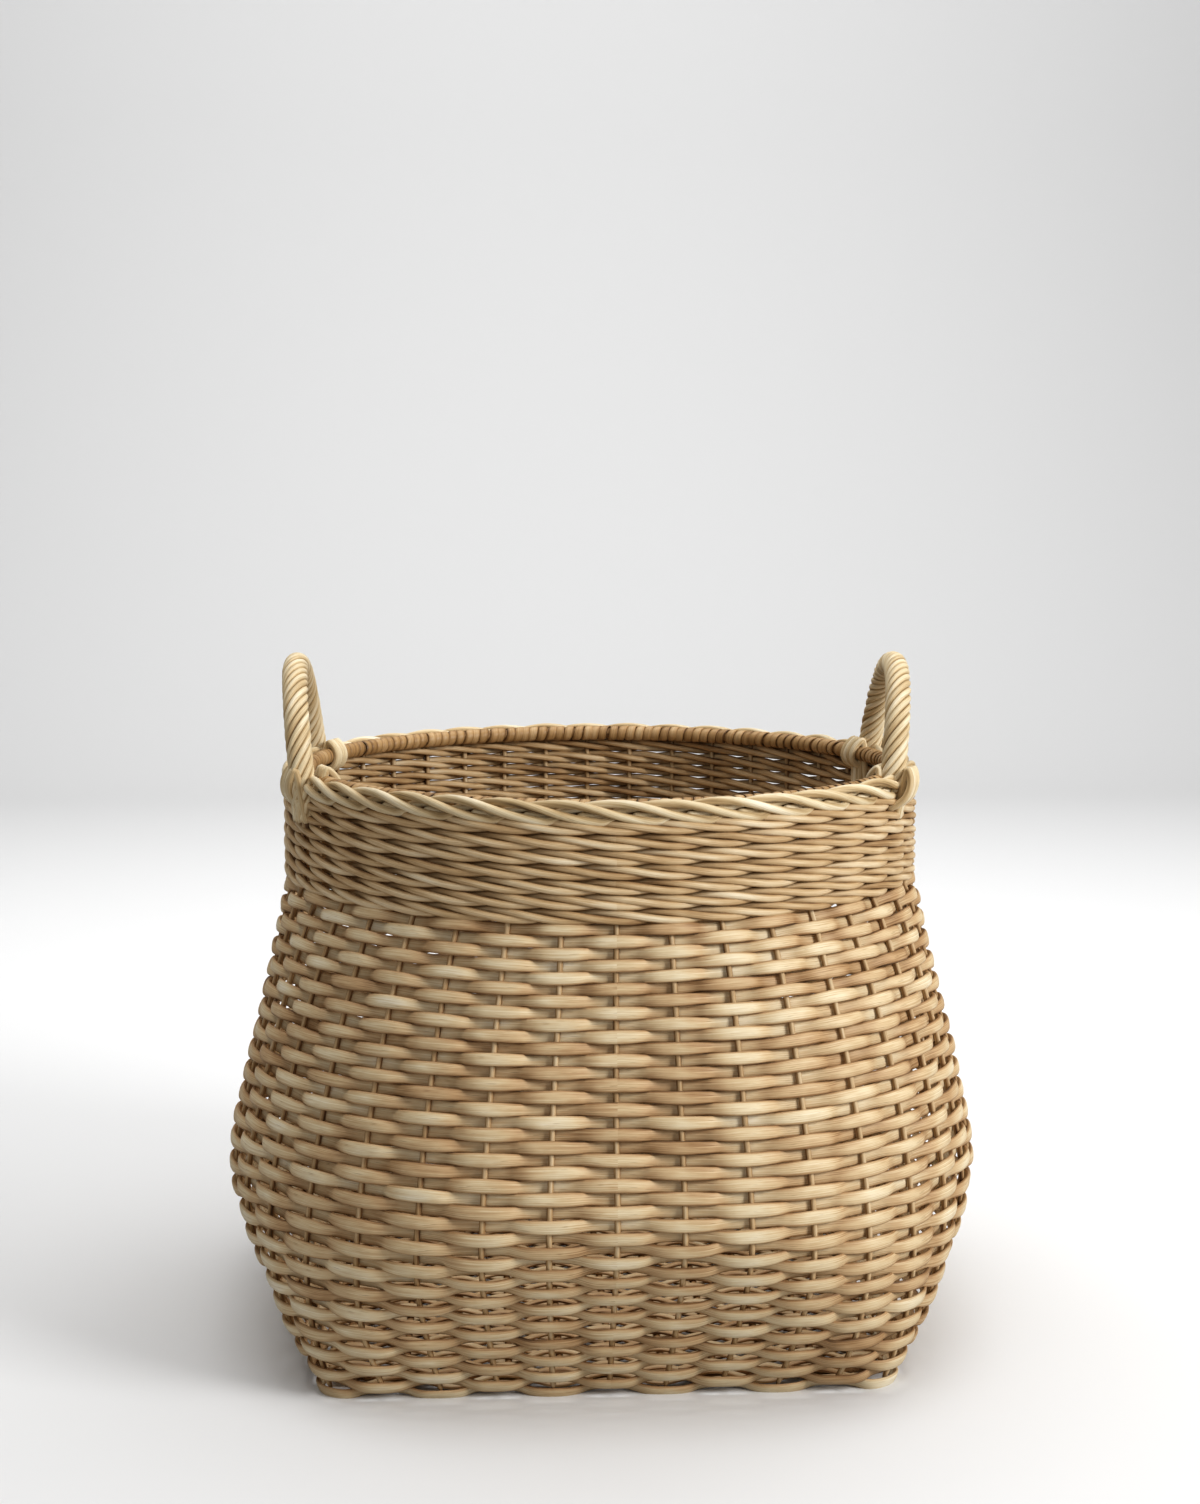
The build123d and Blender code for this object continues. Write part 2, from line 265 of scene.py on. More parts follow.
def add_node(tree, kind, links=None, **settings):
    """Adds a shader node. A setting is a property of the node, or an input by its name with
    _ for a space, and links are {input: output}."""
    made = tree.nodes.new(kind)
    for key, value in settings.items():
        if hasattr(made, key):
            setattr(made, key, value)
        else:
            made.inputs[key.replace("_", " ")].default_value = value
    for key, output in (links or {}).items():
        tree.links.new(output, made.inputs[key])
    return made


def ramp(tree, factor, stops):
    """A colour ramp from a list of (place, hex colour)."""
    made = add_node(tree, "ShaderNodeValToRGB", {"Fac": factor})
    elements = made.color_ramp.elements
    while len(elements) < len(stops):
        elements.new(0.5)
    for element, (place, colour) in zip(elements, stops):
        element.position = place
        element.color = linear(colour)
    return made.outputs["Color"]


CREVICE_SHADE = "#4a3420"  # painted shade deep between the strands
PORE = "#8a6238"  # the dark mouths of the core's vessels
STREAK_LENGTH = 30 * MM
PATCH_LENGTH, PATCH_WIDTH = 22 * MM, 6 * MM
PORE_LENGTH, PORE_WIDTH = 9 * MM, 0.45 * MM
STREAK_TONE, PATCH_TONE = 1.15, 0.7  # how far streaks and patches move the tone
CREVICE_SHADE_SHARE = 0.24  # the part of the ramp below the darkest strand's colour, kept for the painted shade


def rattan(name, tones, fibre, roughness, from_uv=True, bump=0.4):
    """Peeled rattan core, unvarnished: a matt, straw-coloured wood of straight long fibres.
    It gives the eye fine streaks along the strand, a change of tone from strand to strand,
    and darker fibre bundles and pores. tones go from the darkest strand to the palest, below
    them lies the painted shade of the crevices, and fibre is the streaks' width in metres, drawn
    about twice the real one to show."""
    made = bpy.data.materials.new(name)
    made.use_nodes = True
    tree = made.node_tree
    tree.nodes.clear()
    place = add_node(tree, "ShaderNodeTexCoord").outputs["UV" if from_uv else "Object"]
    streaks = add_node(
        tree, "ShaderNodeMapping", {"Vector": place},
        Scale=(1 / STREAK_LENGTH, 1 / fibre, 1 / fibre),
    )
    streak = add_node(
        tree, "ShaderNodeTexNoise", {"Vector": streaks.outputs["Vector"]},
        Scale=1.0, Detail=3.0, Roughness=0.6,
    ).outputs["Fac"]
    patches = add_node(
        tree, "ShaderNodeMapping", {"Vector": place},
        Scale=(1 / PATCH_LENGTH, 1 / PATCH_WIDTH, 1 / PATCH_WIDTH), Location=(3.1, 1.7, 0.4),
    )
    patch = add_node(
        tree, "ShaderNodeTexNoise", {"Vector": patches.outputs["Vector"]}, Scale=1.0, Detail=2.0
    ).outputs["Fac"]
    pore_map = add_node(
        tree, "ShaderNodeMapping", {"Vector": place},
        Scale=(1 / PORE_LENGTH, 1 / PORE_WIDTH, 1 / PORE_WIDTH), Location=(0.7, 5.3, 2.1),
    )
    pore = add_node(
        tree, "ShaderNodeTexNoise", {"Vector": pore_map.outputs["Vector"]}, Scale=1.0, Detail=1.0
    ).outputs["Fac"]
    tone = add_node(tree, "ShaderNodeAttribute", attribute_name="tone").outputs["Fac"]
    lift = add_node(tree, "ShaderNodeMath", {0: streak}, operation="MULTIPLY_ADD")
    lift.inputs[1].default_value, lift.inputs[2].default_value = STREAK_TONE, -STREAK_TONE / 2
    shade = add_node(tree, "ShaderNodeMath", {0: tone, 1: lift.outputs[0]}, operation="ADD")
    blotch = add_node(tree, "ShaderNodeMath", {0: patch}, operation="MULTIPLY_ADD")
    blotch.inputs[1].default_value, blotch.inputs[2].default_value = PATCH_TONE, -PATCH_TONE / 2
    total = add_node(
        tree, "ShaderNodeMath", {0: shade.outputs[0], 1: blotch.outputs[0]}, operation="ADD"
    )
    place_on_ramp = add_node(
        tree, "ShaderNodeMath", {0: total.outputs[0]}, operation="MULTIPLY_ADD", use_clamp=True
    )
    place_on_ramp.inputs[1].default_value = 1 - CREVICE_SHADE_SHARE
    place_on_ramp.inputs[2].default_value = CREVICE_SHADE_SHARE
    count = len(tones) - 1
    stops = [
        (CREVICE_SHADE_SHARE + (1 - CREVICE_SHADE_SHARE) * i / count, colour) for i, colour in enumerate(tones)
    ]
    # The ramp starts in the painted shade of the crevices.
    base = ramp(tree, place_on_ramp.outputs[0], [(0.0, CREVICE_SHADE)] + stops)
    dark = add_node(
        tree, "ShaderNodeMapRange", {"Value": pore}, From_Min=0.66, From_Max=0.78, To_Max=0.42
    )
    mixed = add_node(
        tree, "ShaderNodeMix", {"Factor": dark.outputs["Result"]}, data_type="RGBA",
        blend_type="MULTIPLY",
    )
    colour_in = [s for s in mixed.inputs if s.type == "RGBA"]
    tree.links.new(base, colour_in[0])
    colour_in[1].default_value = linear(PORE)
    colour = [s for s in mixed.outputs if s.type == "RGBA"][0]
    relief = add_node(
        tree, "ShaderNodeBump", {"Height": streak}, Strength=bump, Distance=0.2 * MM
    )
    shader = add_node(
        tree, "ShaderNodeBsdfPrincipled",
        {"Base Color": colour, "Normal": relief.outputs["Normal"]},
        Roughness=roughness, IOR=1.5, Specular_IOR_Level=0.35,
    )
    add_node(tree, "ShaderNodeOutputMaterial", {"Surface": shader.outputs["BSDF"]})
    return made


# Peeled round core, dry and matt, a little browned.
ROUND_CORE = rattan(
    "peeled_round_rattan_core",
    ["#97754e", "#b99a70", "#cfb48c", "#e0ccaa", "#efe2c8"],
    fibre=0.4 * MM, roughness=0.6,
)
WALE_CENTRE = -1.3 * MM  # the wale's middle, out from the weave's
stake_turns = np.arange(STAKES)[:, None] / STAKES
stake_heights = np.linspace(3.5 * MM, BAND_TOP + 2 * MM, 120)[None]
lean_in = WALE_CENTRE * np.clip((stake_heights - NECK_HEIGHT + 12 * MM) / (15 * MM), 0, 1)
sway = 0.5 * MM * wander(stake_heights / 0.4, 7, 11, STAKES)
stake_paths, stake_out = on_wall(stake_turns + sway / 1.2, stake_heights, lean_in)
stake_tone = 0.42 + 0.16 * wander(stake_heights / 0.5, 5, 12, STAKES)
in_corner = np.arange(STAKES) % 10 == 5
for name, chosen, nodes in (
    ("side_stakes_woven_in", ~in_corner, ["side_stakes"]),
    ("corner_stakes_woven_in", in_corner, ["corner_stakes"]),
):
    piece(
        name, ROUND_CORE, nodes, "round_core",
        strands(stake_paths[chosen], stake_out[chosen], STAKE_WIDTH, STAKE_WIDTH,
                stake_tone[chosen], sides=10),
    )

# --- Base ----------------------------------------------------------------------------------
# Nine round sticks run from front to back inside an edge rod. A mat of flat-oval core is
# woven across them, over one stick and under the next, and the sticks and rod stay as cut.
# Flat-oval core, sawn from the cane's inside: paler, with the same long fibres.
FLAT_CORE = rattan(
    "flat_oval_rattan_core",
    ["#9e7a52", "#bf9e76", "#d3ba92", "#e3d2b0", "#f1e6cf"],
    fibre=0.42 * MM, roughness=0.56,
)
# Thick round core for the base and the hoop, browner and coarser.
STICK_CORE = rattan(
    "base_stick_rattan_core", ["#97734a", "#b8966a", "#ccb085", "#dcc7a2"],
    fibre=0.6 * MM, roughness=0.65, from_uv=False,
)
for name in ("base_sticks", "base_edge_rod"):
    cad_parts[name].data.materials.clear()
    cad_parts[name].data.materials.append(STICK_CORE)
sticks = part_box("base_sticks")
STICK_RADIUS = (sticks[1].z - sticks[0].z) / 2
STICK_HEIGHT = (sticks[1].z + sticks[0].z) / 2
STICK_SPACING = (sticks[1].x - sticks[0].x - 2 * STICK_RADIUS) / 8
MAT_ROWS = 46
MAT_THICKNESS = 2.2 * MM
foot_width = NECK_RADIUS * cubic_through(
    STICK_HEIGHT / NECK_HEIGHT * np.ones(1), LEVEL_HEIGHTS, LEVEL_WIDTHS
)[0]
foot_corner = foot_width * 0.2
mat_half = foot_width - 2 * MID_WALL - 0.6 * MM
mat_y = np.linspace(-mat_half + 3.4 * MM, mat_half - 3.4 * MM, MAT_ROWS)[:, None]
into_corner = np.maximum(np.abs(mat_y) - (mat_half - foot_corner), 0)
mat_reach = mat_half - foot_corner + np.sqrt(foot_corner**2 - into_corner**2)
mat_x = mat_reach * np.linspace(-1, 1, 150)[None]
mat_row = np.arange(MAT_ROWS)[:, None]
mat_swing = STICK_RADIUS + MAT_THICKNESS / 2
mat_wave = mat_swing * np.cos(math.pi * (mat_x / STICK_SPACING + mat_row))
mat_z = STICK_HEIGHT + mat_wave * np.clip((mat_reach - np.abs(mat_x)) / (4 * MM), 0.2, 1)
mat_paths = np.stack(
    [mat_x + FOOT_SHIFT, mat_y + 0.3 * MM * wander(mat_x + 0.5, 9, 21, MAT_ROWS), mat_z], -1
)
piece(
    "base_mat_weave", FLAT_CORE, ["base_weave"], "flat_oval_core",
    strands(mat_paths, (0, 0, 1.0), 6.5 * MM, MAT_THICKNESS,
            0.45 + 0.22 * wander(mat_x + 0.5, 12, 22, MAT_ROWS), sides=10, oval=2.5),
)

# --- Body weave ----------------------------------------------------------------------------
# Forty-three rows of flat-oval core, woven over one stake and under the next. Rows above and
# below take the other stakes, so that each row's outside strokes fill its neighbours' dips.
ROWS = 43
BAY_STATIONS = 12
CORE_THICKNESS = 2.7 * MM
PITCH_TOP, PITCH_FOOT = 0.92, 1.08
STIFFNESS = 1.3  # how flat a stroke runs before it dives: 0 is a plain wave
meridian = np.linspace(0, NECK_HEIGHT, 600)
slope_run = np.linalg.norm(np.diff(outline(np.zeros(600), meridian, 0), axis=0), axis=-1)
wall_length = np.concatenate([[0], np.cumsum(slope_run)])
mean_pitch = wall_length[-1] / ROWS
pitches = mean_pitch * np.linspace(PITCH_FOOT, PITCH_TOP, ROWS)
pitches *= wall_length[-1] / pitches.sum()
row_places = np.cumsum(pitches) - pitches / 2
row_heights = np.interp(row_places, wall_length, meridian)[::-1]
row_pitches = pitches[::-1]
around = np.arange(STAKES * BAY_STATIONS) / (STAKES * BAY_STATIONS)
swing = STAKE_WIDTH / 2 + CORE_THICKNESS / 2 + 0.1 * MM
bands = ("weave_foot", "weave_lower", "weave_belly", "weave_shoulder", "weave_neck")
for row in range(ROWS):
    height, pitch = row_heights[row], row_pitches[row]
    node = [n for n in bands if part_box(n)[0].z <= height][-1]
    side = np.cos(math.pi * (around * STAKES + row + 1))
    side = side * np.sqrt((1 + STIFFNESS**2) / (1 + (STIFFNESS * side) ** 2))
    bow = 1 + 0.10 * wander(around, 80, 300 + row)
    out = swing * side * bow + 0.15 * MM * wander(around, 23, 400 + row)
    drift = 0.7 * MM * np.sin(2 * math.pi * (2 * around + 0.021 * row)) + 0.5 * MM * np.sin(
        2 * math.pi * (5 * around - 0.034 * row)
    )
    edge = min(1.0, row / 3, (ROWS - 1 - row) / 3)
    rise = drift * edge + 0.28 * MM * wander(around, 80, 500 + row)
    path, normal = on_wall(around, height, out, rise)
    width = pitch * (1.03 + 0.12 * side * side) * (1 + 0.05 * wander(around, 60, 600 + row))
    row_tone = 0.58 + 0.10 * wander(np.array([0.5]), 2, 700 + row)[0]
    tone = row_tone + 0.15 * wander(around, 9, 800 + row) + 0.12 * wander(around, 40, 900 + row)
    # Painted shade: each stroke darkens where it dives between the stakes.
    tone = tone - 0.2 * (1 - side * side)
    piece(
        f"weaver_row_{row + 1:02d}", FLAT_CORE, [node], "flat_oval_core",
        strands(path[None], normal[None], width[None], CORE_THICKNESS, tone[None], closed=True,
                sides=14, oval=2.3, twist=np.radians(6) * wander(around, 80, 1000 + row)[None]),
    )

# --- Waled band ----------------------------------------------------------------------------
# Seven courses of three-rod wale in round core. Each rod goes outside two stakes and inside
# the third, and drops past its fellows as it goes, so the strokes lie like a laid rope.
COURSES = 7
WALE_ROD = 4.4 * MM
WALE_TOP = BAND_TOP + 1.2 * MM
WALE_PITCH = (WALE_TOP - NECK_HEIGHT) / COURSES
WALE_STATIONS = 10
WALE_LATE = 0.3  # radians of the stroke by which a rod swings out after it drops
bays = np.arange(3 * STAKES * WALE_STATIONS) / WALE_STATIONS
for course in range(COURSES):
    lay = 2 * math.pi * ((bays + course) % 3) / 3
    late = lay - WALE_LATE
    out = WALE_CENTRE + MM * (1.03 - 3.8 * np.cos(late) - 0.83 * np.cos(2 * late))
    loop = bays / (3 * STAKES)
    out = out + 0.2 * MM * wander(loop, 240, 1100 + course)
    rise = WALE_PITCH * 0.288 * np.sin(lay) + 0.22 * MM * wander(loop, 120, 1200 + course)
    rise = rise + 0.5 * MM * wander(bays / STAKES, 6, 1250)
    height = WALE_TOP - (course + 0.5) * WALE_PITCH
    path, normal = on_wall(bays / STAKES, height + 0 * bays, out, rise)
    tone = 0.56 + 0.15 * wander(loop, 30, 1300 + course) + 0.15 * wander(loop, 120, 1400 + course)
    # Painted shade: each rod darkens where it passes inside, behind the stakes.
    tone = tone - 0.12 * (1 + np.cos(late))
    rod = WALE_ROD * (1 + 0.05 * wander(loop, 50, 1500 + course))
    piece(
        f"wale_rods_{course + 1}", ROUND_CORE, [f"wale_course_{course + 1}"], "wale_core",
        strands(path[None], normal[None], rod[None], rod[None], tone[None], closed=True),
    )

# --- Rolled border -------------------------------------------------------------------------
# Forty round strands rise inside the top of the wall, roll over it and run down to the right
# outside, each lying on the one before, so that they close the top like a thick rope.
BORDER_BAYS = 3.7
BORDER_ROD = 4.7 * MM
# The palest round core, kept for the border and the handles, which show most.
PALE_CORE = rattan(
    "pale_round_rattan_core",
    ["#a88c62", "#c6ad84", "#d8c5a0", "#e7d9bc", "#f2e9d4"],
    fibre=0.42 * MM, roughness=0.6,
)
roll_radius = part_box("rolled_border")[1].x - 5.1 * MM
roll_height = RIM_TOP - 7.7 * MM
ROLL_ACROSS, ROLL_UP = 2.9 * MM, 5.0 * MM
share = np.linspace(0, 1, 90)[None]
first = np.arange(STAKES)[:, None]
border_turn = (first + BORDER_BAYS * share + 0.3) / STAKES
roll = np.radians(235 - 325 * share)
tuck = np.clip(np.minimum(share / 0.13, (1 - share) / 0.08), 0, 1)
tuck = 0.35 + 0.65 * tuck * tuck * (3 - 2 * tuck)
lap = 1 + 0.14 * np.cos(2 * math.pi * (share - 0.5)) + 0.07 * wander(share, 5, 1601, STAKES)
radius = roll_radius + ROLL_ACROSS * tuck * lap * np.cos(roll)
height = roll_height + ROLL_UP * tuck * lap * np.sin(roll)
azimuth = 2 * math.pi * border_turn - math.pi / 2
border_paths = np.stack([radius * np.cos(azimuth), radius * np.sin(azimuth), height], -1)
roll_out = np.stack(
    [np.cos(roll) * np.cos(azimuth), np.cos(roll) * np.sin(azimuth), np.sin(roll) + 0 * azimuth], -1
)
piece(
    "border_strands", PALE_CORE, ["rolled_border"], "round_core",
    strands(border_paths, roll_out, BORDER_ROD * (1 + 0.05 * wander(share, 5, 1602, STAKES)),
            BORDER_ROD, 0.58 + 0.15 * wander(share, 3, 1603, STAKES)
            + 0.12 * np.random.default_rng(1604).uniform(-1, 1, (STAKES, 1))),
)

# --- Rim hoop and its binding --------------------------------------------------------------
# A round hoop lies inside the top of the wall, level with the border. Flat cane, skin side
# out, is wound round it edge to edge, each wrap just lapping the one before.
# Flat cane with its skin left on, smooth and a little glossy.
CANE = rattan(
    "flat_cane_skin_out",
    ["#8f6d43", "#b08d60", "#c4a67c", "#d6be98"],
    fibre=0.35 * MM, roughness=0.45, bump=0.1,
)
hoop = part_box("rim_hoop")
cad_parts["rim_hoop"].data.materials.clear()
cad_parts["rim_hoop"].data.materials.append(STICK_CORE)
hoop_rod = (hoop[1].z - hoop[0].z) / 2
hoop_radius = hoop[1].x - hoop_rod
hoop_height = (hoop[1].z + hoop[0].z) / 2
CANE_WIDTH, CANE_THICKNESS = 5.9 * MM, 1.4 * MM
WRAPS = int(2 * math.pi * hoop_radius / (6.0 * MM))
WRAP_STATIONS = 20
wrap = np.arange(WRAPS * WRAP_STATIONS) / (WRAPS * WRAP_STATIONS)
wrap_angle = 2 * math.pi * WRAPS * wrap
azimuth = 2 * math.pi * (wrap + 0.0012 * wander(wrap, WRAPS * 2, 1701))
lift = hoop_rod + CANE_THICKNESS / 2 + 0.12 * MM * wander(wrap, WRAPS, 1702)
wrap_out = np.stack(
    [np.cos(wrap_angle) * np.cos(azimuth), np.cos(wrap_angle) * np.sin(azimuth),
     np.sin(wrap_angle)], -1
)
hoop_line = np.stack(
    [hoop_radius * np.cos(azimuth), hoop_radius * np.sin(azimuth), hoop_height + 0 * azimuth], -1
)
piece(
    "hoop_binding", CANE, ["hoop_wrapping"], "cane_binding",
    strands((hoop_line + lift[:, None] * wrap_out)[None], wrap_out[None], CANE_WIDTH,
            CANE_THICKNESS, (0.36 + 0.25 * wander(wrap, WRAPS, 1703))[None], closed=True,
            sides=10, oval=2.2, twist=np.radians(4)),
)

# --- Handles -------------------------------------------------------------------------------
# Each handle is a stout rattan bow with its ends pushed down into the wall. Eight round
# strands are laid round it like a rope, to the right, from one foot to the other. The left
# bow stands a little further out than the right one, and they aren't quite in line.
ROPE_STRANDS = 8
LAY_LENGTH = 55 * MM
ROPE_WIDTH, ROPE_THICKNESS = 4.1 * MM, 3.7 * MM
CORE_RADIUS = 3.5 * MM
FOOT_ANGLES = {-1: (math.radians(23.4), math.radians(20.9)),
               1: (math.radians(26.6), math.radians(19.0))}
FOOT_RADIUS = {-1: NECK_RADIUS - 0.1 * MM, 1: NECK_RADIUS - 5.3 * MM}
APEX_IN = 7.6 * MM
ROPE_END = 14.5 * MM
rope_box, core_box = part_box("handle_roping_right"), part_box("handle_core_right")
# From the bow's middle to the outside of the rope, and to the middle of a laid strand.
rope_radius = rope_box[1].z - core_box[1].z + CORE_RADIUS
laid_radius = rope_radius - ROPE_THICKNESS / 2


def foot_azimuth(side, end):
    """Direction of a foot from the basket's axis: side is 1 at +X, and end is -1 in front."""
    angle = end * FOOT_ANGLES[side][0 if end < 0 else 1]
    return angle if side > 0 else math.pi - angle


def bow_arc(side, share):
    """The handle's arc through its two feet and its apex, as points, outward directions in
    its plane, tangents and its length. share runs from 0 at the front foot to 1."""
    feet = [
        np.array([FOOT_RADIUS[side] * math.cos(a), FOOT_RADIUS[side] * math.sin(a), RIM_TOP])
        for a in (foot_azimuth(side, -1), foot_azimuth(side, 1))
    ]
    forward = (FOOT_ANGLES[side][0] - FOOT_ANGLES[side][1]) / 2
    apex_radius = FOOT_RADIUS[side] - APEX_IN
    apex = np.array([
        side * apex_radius * math.cos(forward), -apex_radius * math.sin(forward),
        rope_box[1].z - rope_radius + 1.5 * MM,
    ])
    middle = (feet[0] + feet[1]) / 2
    rise, half_chord = np.linalg.norm(apex - middle), np.linalg.norm(feet[1] - middle)
    arc_radius = (rise**2 + half_chord**2) / (2 * rise)
    up, along = (apex - middle) / rise, (feet[1] - middle) / half_chord
    reach = math.atan2(half_chord, rise - arc_radius)
    angle = (reach * (2 * np.asarray(share) - 1))[..., None]
    outward = np.cos(angle) * up + np.sin(angle) * along
    tangent = np.cos(angle) * along - np.sin(angle) * up
    return apex - arc_radius * up + arc_radius * outward, outward, tangent, 2 * reach * arc_radius


def laid_strand(side, share, phase, radius):
    """A strand laid right-handed round the bow: its angle about the bow grows with the way
    along it, one turn in each lay length."""
    centre, outward, tangent, length = bow_arc(side, share)
    sideways = np.cross(tangent, outward)
    angle = (2 * math.pi * (share * length / LAY_LENGTH) + phase)[..., None]
    direction = np.cos(angle) * outward + np.sin(angle) * sideways
    return centre + radius * direction, direction


rope_phase = 2 * math.pi * np.arange(ROPE_STRANDS)[:, None] / ROPE_STRANDS
rope_tone = 0.5 + 0.14 * np.random.default_rng(1810).uniform(-1, 1, (ROPE_STRANDS, 1))
for side, side_name in ((-1, "left"), (1, "right")):
    arch = bow_arc(side, np.linspace(0, 1, 120))[0]
    leg_drop = np.linspace(RIM_TOP - core_box[0].z, 1 * MM, 24)[:, None]
    inset = np.clip(leg_drop / (6 * MM), 0, 1) * (FOOT_RADIUS[side] - NECK_RADIUS + 5.5 * MM)
    legs = [
        foot - leg_drop * (0, 0, 1) - inset * (math.cos(a), math.sin(a), 0)
        for foot, a in ((arch[0], foot_azimuth(side, -1)), (arch[-1], foot_azimuth(side, 1)))
    ]
    bow = np.concatenate([legs[0], arch, legs[1][::-1]])
    piece(
        f"handle_bow_{side_name}", ROUND_CORE, [f"handle_core_{side_name}"], "round_core",
        strands(bow[None], (side, 0, 0.01), 2 * CORE_RADIUS, 2 * CORE_RADIUS, 0.4),
    )
    end = ROPE_END / bow_arc(side, 0.5)[3]
    share = np.linspace(end, 1 - end, 240) * np.ones((ROPE_STRANDS, 1))
    loose = 1 + 0.03 * wander(share[:1], 12, 1801 + side, ROPE_STRANDS)
    paths, direction = laid_strand(side, share, rope_phase, laid_radius * loose[..., None])
    piece(
        f"handle_rope_{side_name}", PALE_CORE, [f"handle_roping_{side_name}"],
        "handle_core_rope",
        strands(paths, direction, ROPE_WIDTH, ROPE_THICKNESS,
                rope_tone + 0.1 * wander(share[:1], 6, 1811 + side, ROPE_STRANDS)),
    )

# --- Foot ties -----------------------------------------------------------------------------
# The eight strands part at each foot. The four on one side of the bow sweep out over the
# border and hook in under it. The other four go in over the bound hoop and round its back.
TIE_ROD = 4.0 * MM
TIE_STATIONS = 72
# Millimetres out from the neck's radius, along the border and up from the rim's top.
OUTER_ROUTE = MM * np.array([
    (5.2, -1.0, 2.6), (7.4, -2.5, -1.6), (7.6, -4.5, -7.0), (5.6, -6.5, -12.5),
    (0.5, -7.5, -17.0), (-5.0, -8.0, -19.5),
])
INNER_ROUTE = MM * np.array([
    (-12.8, 1.0, 2.6), (-17.2, 2.0, -0.6), (-19.3, 3.0, -5.8), (-18.0, 4.0, -10.4),
    (-13.0, 4.5, -13.8), (-5.0, 4.5, -16.0),
])


def tie_strands(side, end, outer, tone):
    """Four strands from the rope's end at a foot to where they tuck in. On the bow they keep
    turning about it as they come down, from their place in the rope to their place in the
    row of four. Past it they follow a route side by side: out from the neck's radius, along
    the border and up from the rim's top."""
    azimuth = foot_azimuth(side, end)
    out = np.array([math.cos(azimuth), math.sin(azimuth), 0])
    along, up = np.array([-math.sin(azimuth), math.cos(azimuth), 0]), np.array([0, 0, 1.0])
    length = bow_arc(side, 0.5)[3]

    def on_bow(above):
        share = above / length if end < 0 else 1 - above / length
        return np.full((ROPE_STRANDS, 1), share)

    knots = []
    for above in (ROPE_END + 3 * MM, ROPE_END + 0.5 * MM):
        laid = laid_strand(side, on_bow(above), rope_phase, laid_radius)[0][:, 0]
        from_bow = laid - bow_arc(side, on_bow(above)[0, 0])[0]
        angle = np.arctan2(from_bow @ along, from_bow @ out) % (2 * math.pi)
        if not knots:
            chosen = np.argsort(angle)[:4] if outer else np.argsort(angle)[4:]
            first = angle[chosen]
        knots.append(laid[chosen])
    place = np.array([-5.7, -1.9, 1.9, 5.7]) * MM * (1 if outer else -1)
    arrive = np.arctan2(place, 6.5 * MM) if outer else math.pi - np.arctan2(place, 6.5 * MM)
    for above, turned, radius in ((10.5 * MM, 0.42, 5.9 * MM), (6.5 * MM, 0.75, 6.5 * MM)):
        theta = (first * (1 - turned) + arrive * turned)[:, None]
        centre = bow_arc(side, on_bow(above)[0, 0])[0]
        knots.append(centre + radius * (np.cos(theta) * out + np.sin(theta) * along))
    for o, drift, rise in OUTER_ROUTE if outer else INNER_ROUTE:
        place_along = (place + drift)[:, None] * along
        knots.append((NECK_RADIUS + o) * out + place_along + (RIM_TOP + rise) * up)
    knots = np.array(knots)
    steps = np.linalg.norm(np.diff(knots, axis=0), axis=-1).mean(1)
    places = np.concatenate([[0], np.cumsum(steps)])
    paths = cubic_through(np.linspace(0, places[-1], TIE_STATIONS), places, knots)
    paths = paths.transpose(1, 0, 2)
    faces = np.cross(np.gradient(paths, axis=1), along)
    # The tie strands take less of the painted edge shade.
    return strands(paths, faces, TIE_ROD, TIE_ROD, tone[chosen], edge_shade=0.3)


for side, side_name in ((-1, "left"), (1, "right")):
    for outer, kind in ((True, "outer"), (False, "inner")):
        piece(
            f"{kind}_foot_ties_{side_name}", PALE_CORE, [f"{kind}_ties_{side_name}"],
            "handle_core_rope",
            tie_strands(side, -1, outer, rope_tone), tie_strands(side, 1, outer, rope_tone),
        )

# --- Floor, light and camera ---------------------------------------------------------------
# A plain pale sweep stands under the basket. A large soft light from the upper right gives
# the bright right side. The sweep throws back less light than its paleness would, so that
# the gaps in the weave and the foot stay dark.
scene = bpy.context.scene
scene.view_settings.view_transform = "Standard"
scene.view_settings.look = "Medium High Contrast"
FLOOR_FRONT, FLOOR_BACK, SWEEP_RADIUS, FLOOR_HALF = -3.0, 2.2, 1.2, 4.0
bend = np.linspace(0, math.pi / 2, 24)
profile = np.concatenate([
    [(FLOOR_FRONT, 0.0)],
    np.stack([FLOOR_BACK + SWEEP_RADIUS * np.sin(bend), SWEEP_RADIUS * (1 - np.cos(bend))], -1),
    [(FLOOR_BACK + SWEEP_RADIUS, 4.0)],
])
across = np.array([-FLOOR_HALF, FLOOR_HALF])
sweep = np.stack(
    [np.repeat(across[:, None], len(profile), 1), np.tile(profile[:, 0], (2, 1)),
     np.tile(profile[:, 1], (2, 1))], -1
)
edge_points = len(profile)
step = np.arange(edge_points - 1)
floor_quads = np.stack([step, edge_points + step, edge_points + step + 1, step + 1], -1)
floor_mesh = bpy.data.meshes.new("floor_sweep")
floor_mesh.from_pydata(sweep.reshape(-1, 3).tolist(), [], floor_quads.tolist())
floor_mesh.polygons.foreach_set("use_smooth", np.ones(edge_points - 1, bool))
floor = bpy.data.objects.new("floor_sweep", floor_mesh)
scene.collection.objects.link(floor)
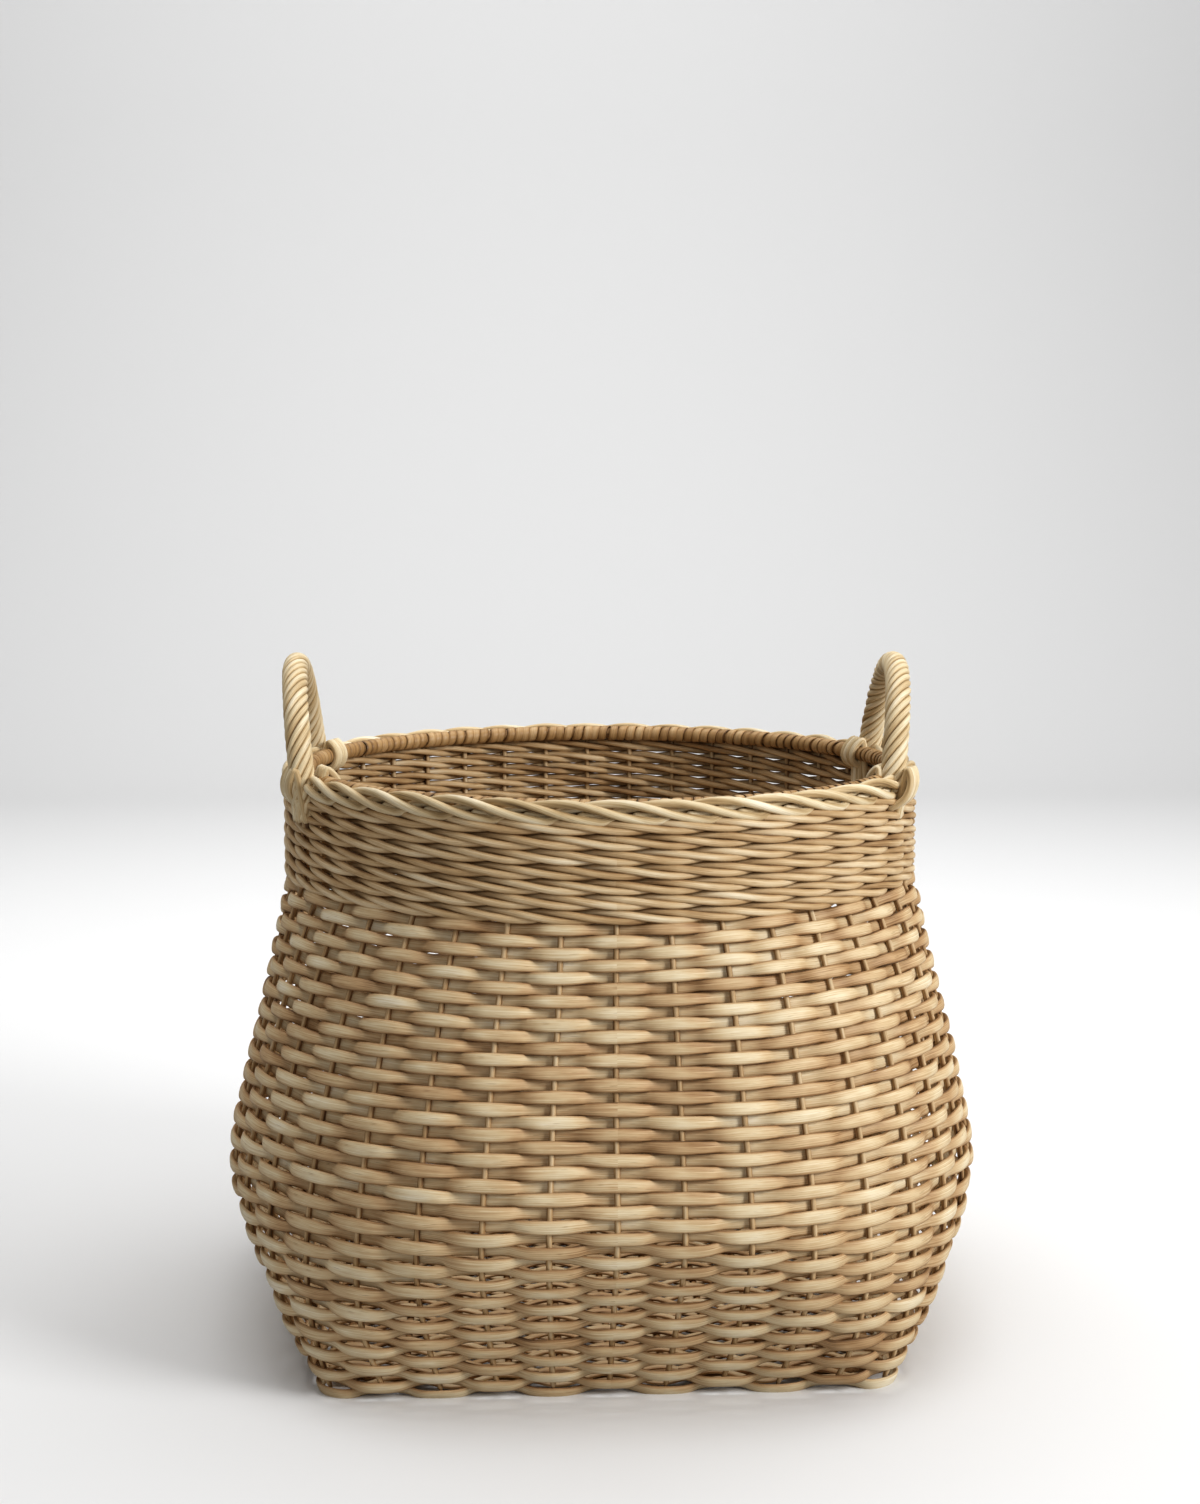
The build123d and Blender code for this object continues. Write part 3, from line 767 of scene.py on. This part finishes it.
# Matt white paper: seen pale, but throwing back less light than it shows.
paper = bpy.data.materials.new("matt_white_paper")
paper.use_nodes = True
paper_shader = paper.node_tree.nodes["Principled BSDF"]
to_camera = add_node(paper.node_tree, "ShaderNodeLightPath").outputs["Is Camera Ray"]
paper_tone = ramp(paper.node_tree, to_camera, [(0.0, "#b8b8b8"), (1.0, "#e7e7e7")])
paper.node_tree.links.new(paper_tone, paper_shader.inputs["Base Color"])
paper_shader.inputs["Roughness"].default_value = 0.9
paper_shader.inputs["Specular IOR Level"].default_value = 0.1
floor_mesh.materials.append(paper)

world = bpy.data.worlds.new("pale_surroundings")
scene.world = world
world.use_nodes = True
world.node_tree.nodes["Background"].inputs["Color"].default_value = (1, 1, 1, 1)
world.node_tree.nodes["Background"].inputs["Strength"].default_value = 0.14


def soft_light(name, place, aim, size, watts):
    """A square area light at a place, turned to face a point."""
    lamp = bpy.data.lights.new(name, "AREA")
    lamp.size, lamp.energy = size, watts
    made = bpy.data.objects.new(name, lamp)
    scene.collection.objects.link(made)
    z_way = unit(np.array(place, float) - np.array(aim, float))
    x_way = unit(np.cross((0, 0, 1), z_way))
    y_way = np.cross(z_way, x_way)
    rows = [[x_way[r], y_way[r], z_way[r], place[r]] for r in range(3)]
    made.matrix_world = Matrix(rows + [[0, 0, 0, 1]])


soft_light("key_light", (1.95, -1.32, 1.20), (0, 0, 0.15), 0.9, 42)
soft_light("overhead_softbox", (0.0, 0.1, 2.3), (0, 0, 0), 2.2, 30)
soft_light("front_fill", (-0.6, -2.4, 1.2), (0, 0, 0.2), 1.6, 9)
soft_light("backdrop_light", (0, 1.0, 2.3), (0, 3.4, 0.7), 2.5, 40)

CAMERA_DISTANCE = 1.4155
CAMERA_HEIGHT = 0.5125
CAMERA_AZIMUTH = math.radians(-2.66)
CAMERA_PITCH = math.radians(6.95)
camera_data = bpy.data.cameras.new("camera")
camera_data.lens = 56.2
camera_data.sensor_width = 36.0
camera = bpy.data.objects.new("camera", camera_data)
scene.collection.objects.link(camera)
camera.location = (
    CAMERA_DISTANCE * math.sin(CAMERA_AZIMUTH),
    -CAMERA_DISTANCE * math.cos(CAMERA_AZIMUTH),
    CAMERA_HEIGHT,
)
camera.rotation_euler = (math.pi / 2 - CAMERA_PITCH, 0, CAMERA_AZIMUTH)
scene.camera = camera
